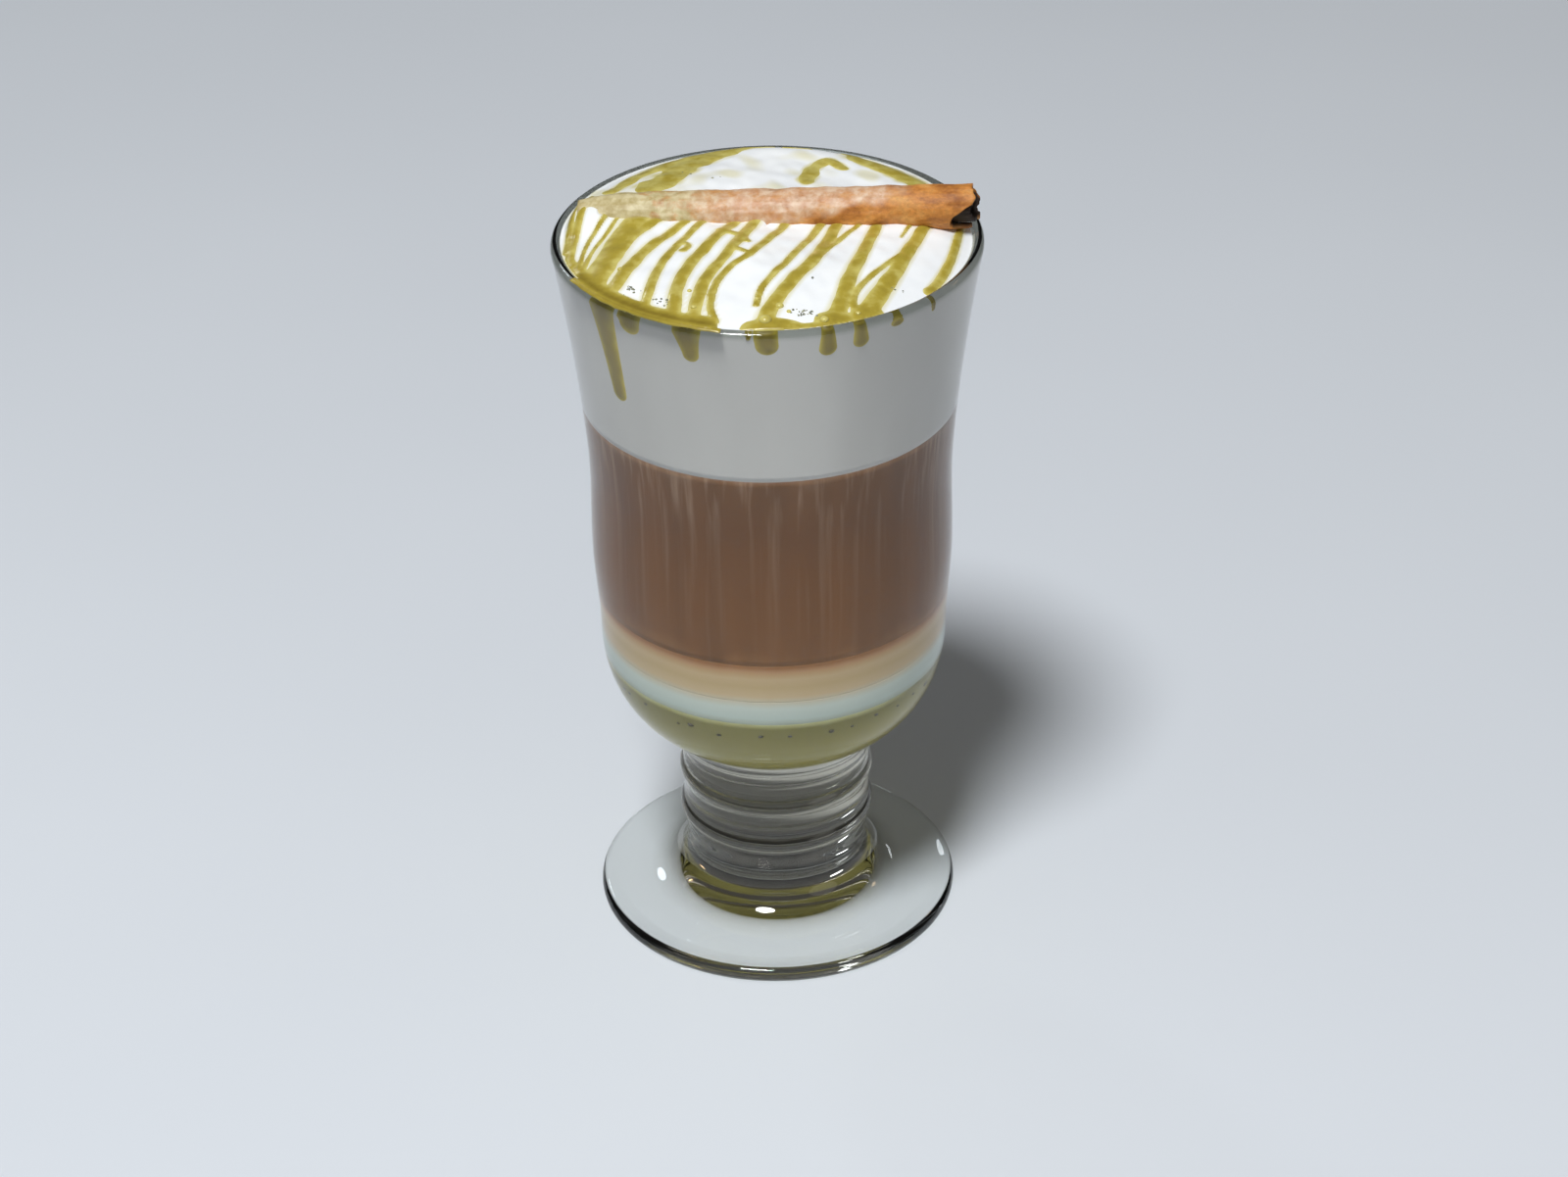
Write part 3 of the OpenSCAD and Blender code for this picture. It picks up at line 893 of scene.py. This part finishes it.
def stick_mesh():
    """Points of the bark along and round the roll, its outer and then its inner face, and its faces.

    With them go what each point carries: its share of the length, how far it looks up, and whether it is
    on the inner side, which the finish paints near black as shade.
    """
    angles = np.linspace(0, 360 * roll_turns, ROUND_STEPS)
    path = np.concatenate([angles, angles[::-1]])
    inward = np.concatenate([np.zeros(ROUND_STEPS), np.ones(ROUND_STEPS)])
    share = np.linspace(0, 1, LONG_STEPS)[:, None]
    way = np.radians(path)[None, :]
    broken = 5.4 * np.exp(-((path - 62) / 50) ** 2) + 1.3 * np.exp(-((path - 200) / 42) ** 2)
    inner_turn = 1.3 / (1 + np.exp((380 - path) / 12))
    setback = np.clip(broken + inner_turn + 0.6 + 0.3 * np.sin(5 * way) + 0.1 * np.sin(17 * way + 1),
                      0, None)
    length = share * (stick_l - setback)
    round_mm = way * stick_r + 0 * length
    grain = ripple(length * 0.12, round_mm, 1.1, 21) * 0.05 + ripple(length, round_mm, 7.0, 22) * 0.12
    pits = ripple(length * 0.5, round_mm, 0.9, 23) * 0.03
    radius = roll_r(path)[None, :] + grain + pits * (1 - inward) - bark_t * inward
    radius = radius * (1 - 0.3 * np.clip(1 - length / 10, 0, 1) ** 1.6)
    middle = np.exp(-((length - 0.42 * stick_l) / 17) ** 2)
    radius = radius + swelling * middle
    x, y = radius * np.cos(way) + sag * middle, -radius * np.sin(way)
    points = np.stack([x, y, length + 0 * way], -1).reshape(-1, 3)
    count = 2 * ROUND_STEPS
    faces = [f for i in range(LONG_STEPS - 1) for f in belt(i * count, (i + 1) * count, count)]
    last = (LONG_STEPS - 1) * count
    for k in range(ROUND_STEPS - 1):
        far = count - 1 - k
        faces.append((far, far - 1, k + 1, k))
        faces.append((last + k, last + k + 1, last + far - 1, last + far))
    upward = -np.cos(way) + 0 * length
    shaded_inside = np.broadcast_to(np.maximum(inward, path > 360)[None, :], length.shape)
    return points, faces, length / stick_l, upward, shaded_inside


def bark_finish():
    """Reddish brown bark with paler patches and fine grain, the film that lies on it, and painted shade
    inside the roll.
    """
    finish, shader = new_finish("cinnamon")
    nodes, links = finish.node_tree.nodes, finish.node_tree.links
    patches = speckle(finish, place_in_mm(finish, (0.6, 1, 1)), 0.32, 4.0, 0.6)
    grain = speckle(finish, place_in_mm(finish, (0.7, 1, 1)), 1.8, 4.0, 0.65)
    bark = ramp(finish, patches, [(0.3, paint(152, 88, 32)), (0.5, paint(204, 134, 60)),
                                  (0.72, paint(228, 170, 96))])
    lines = ramp(finish, grain, [(0.3, grey(0.55)), (0.65, grey(1.1))])
    bark = stir(finish, 0.55, bark, lines, "MULTIPLY")
    film_tone = speckle(finish, place_in_mm(finish), 0.5, 3.0)
    pink = ramp(finish, film_tone, [(0.35, paint(200, 152, 116)), (0.65, paint(224, 196, 168))])
    cream = ramp(finish, film_tone, [(0.35, paint(176, 158, 104)), (0.65, paint(214, 202, 160))])
    film = stir(finish, carried(finish, "cream"), pink, cream)
    worn = speckle(finish, place_in_mm(finish), 0.45, 4.0, 0.65)
    left_over = ramp(finish, worn, [(0.34, grey(0.3)), (0.56, grey(1.0))])
    cover = arith(finish, "MULTIPLY", carried(finish, "film"), left_over)
    colour = stir(finish, cover, bark, film)
    # The roll's inner face and inner turn are painted near black: painted shade.
    links.new(stir(finish, carried(finish, "dark"), colour, paint(40, 23, 13)), shader.inputs["Base Color"])
    links.new(ramp(finish, cover, [(0.0, grey(0.6)), (0.6, grey(0.48))]), shader.inputs["Roughness"])
    bump = nodes.new("ShaderNodeBump")
    bump.inputs["Strength"].default_value = 0.5
    bump.inputs["Distance"].default_value = 0.12 * MM
    links.new(grain, bump.inputs["Height"])
    links.new(bump.outputs[0], shader.inputs["Normal"])
    return finish


bark_points, bark_faces, along_share, upward, shaded_inside = stick_mesh()
stick = piece_from("cinnamon_roll", bark_points, bark_faces, bark_finish())
uneven = 0.5 * ripple(along_share * stick_l, upward * 4, 6.0, 31)
reach_down = 0.9 - 1.7 * np.clip((0.86 - along_share) / 0.55, 0, 1)
film = np.clip((upward - reach_down + 0.35 * uneven) / 0.35, 0, 1)
film *= np.clip((0.9 - along_share) / 0.12, 0, 1)
carry(stick, "film", film + 2.0 * np.clip((0.2 - along_share) / 0.12, 0, 1))
carry(stick, "cream", np.clip((0.38 - along_share + 0.06 * uneven) / 0.16, 0, 1))
carry(stick, "dark", np.clip(shaded_inside, 0, 1))
lie = (Matrix.Translation(Vector((sunk_x, sunk_y, sunk_z)) * MM) @ Matrix.Rotation(-stick_turn, 4, "Z")
       @ Matrix.Rotation(math.pi / 2 - stick_rise, 4, "Y"))
stick.data.transform(lie)
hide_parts("cinnamon_stick")
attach(stick, "root")

# ---- Table, light and camera ----
# A plain pale table, one large soft lamp high at the front left, a dim sky, and weaker lamps at the right
# and behind, which draw the lights in the glass and on the wet sauce.

TABLE_HALF = 2500


def table_finish():
    """Pale smooth paint, barely uneven."""
    finish, shader = new_finish("table_top")
    cloud = speckle(finish, place_in_mm(finish), 0.004, 2.0)
    colour = ramp(finish, cloud, [(0.3, paint(222, 228, 236)), (0.7, paint(226, 232, 240))])
    finish.node_tree.links.new(colour, shader.inputs["Base Color"])
    shader.inputs["Roughness"].default_value = 0.45
    shader.inputs["Specular IOR Level"].default_value = 0.25
    return finish


table_corners = [(TABLE_HALF * x, TABLE_HALF * y, 0) for x, y in ((-1, -1), (1, -1), (1, 1), (-1, 1))]
table = piece_from("table", table_corners, [(0, 1, 2, 3)], table_finish())


def lamp(name, place, size, power, colour, aim=(0, 0, 0.07)):
    """A soft round lamp that faces the drink: place and size in metres, power in watts."""
    light = bpy.data.lights.new(name, "AREA")
    light.shape = "DISK"
    light.size = size
    light.energy = power
    light.color = colour
    holder = bpy.data.objects.new(name, light)
    holder.location = place
    holder.rotation_euler = (Vector(aim) - Vector(place)).to_track_quat("-Z", "Y").to_euler()
    bpy.context.scene.collection.objects.link(holder)


lamp("key_lamp", (-0.28, -0.68, 1.64), 0.42, 27.8, (0.99, 0.995, 0.995))
lamp("fill_lamp", (1.5, -1.1, 0.7), 1.2, 2.6, (1.0, 0.96, 0.91))
lamp("back_lamp", (-0.75, 1.3, 1.0), 0.22, 1.1, (0.86, 0.93, 1.0))
lamp("warm_lamp", (0.7, 0.55, 0.75), 0.08, 0.1, (1.0, 0.72, 0.42))


def sky():
    """Dim light from all round, brighter overhead than at the horizon."""
    world = bpy.data.worlds.new("sky")
    world.use_nodes = True
    nodes, links = world.node_tree.nodes, world.node_tree.links
    place = nodes.new("ShaderNodeTexCoord")
    split = nodes.new("ShaderNodeSeparateXYZ")
    shade = nodes.new("ShaderNodeValToRGB")
    shade.color_ramp.elements[0].position = 0.05
    shade.color_ramp.elements[0].color = (0.05, 0.055, 0.06, 1)
    shade.color_ramp.elements[1].position = 0.9
    shade.color_ramp.elements[1].color = (0.68, 0.66, 0.62, 1)
    links.new(place.outputs["Generated"], split.inputs[0])
    links.new(split.outputs["Z"], shade.inputs["Fac"])
    links.new(shade.outputs["Color"], nodes["Background"].inputs["Color"])
    nodes["Background"].inputs["Strength"].default_value = 0.175
    bpy.context.scene.world = world


sky()
bpy.context.scene.view_settings.view_transform = "Standard"

camera_place = (0.0, -0.6, 0.4365)
look_down, look_right, tilt = math.radians(31.458), math.radians(0.202), math.radians(-0.857)
lens = bpy.data.cameras.new("camera")
lens.lens = 82.7
lens.sensor_width = 36.0
lens.clip_start = 0.01
camera = bpy.data.objects.new("camera", lens)
camera.matrix_world = (Matrix.Translation(camera_place) @ Matrix.Rotation(-look_right, 4, "Z")
                       @ Matrix.Rotation(math.pi / 2 - look_down, 4, "X") @ Matrix.Rotation(tilt, 4, "Z"))
bpy.context.scene.collection.objects.link(camera)
bpy.context.scene.camera = camera
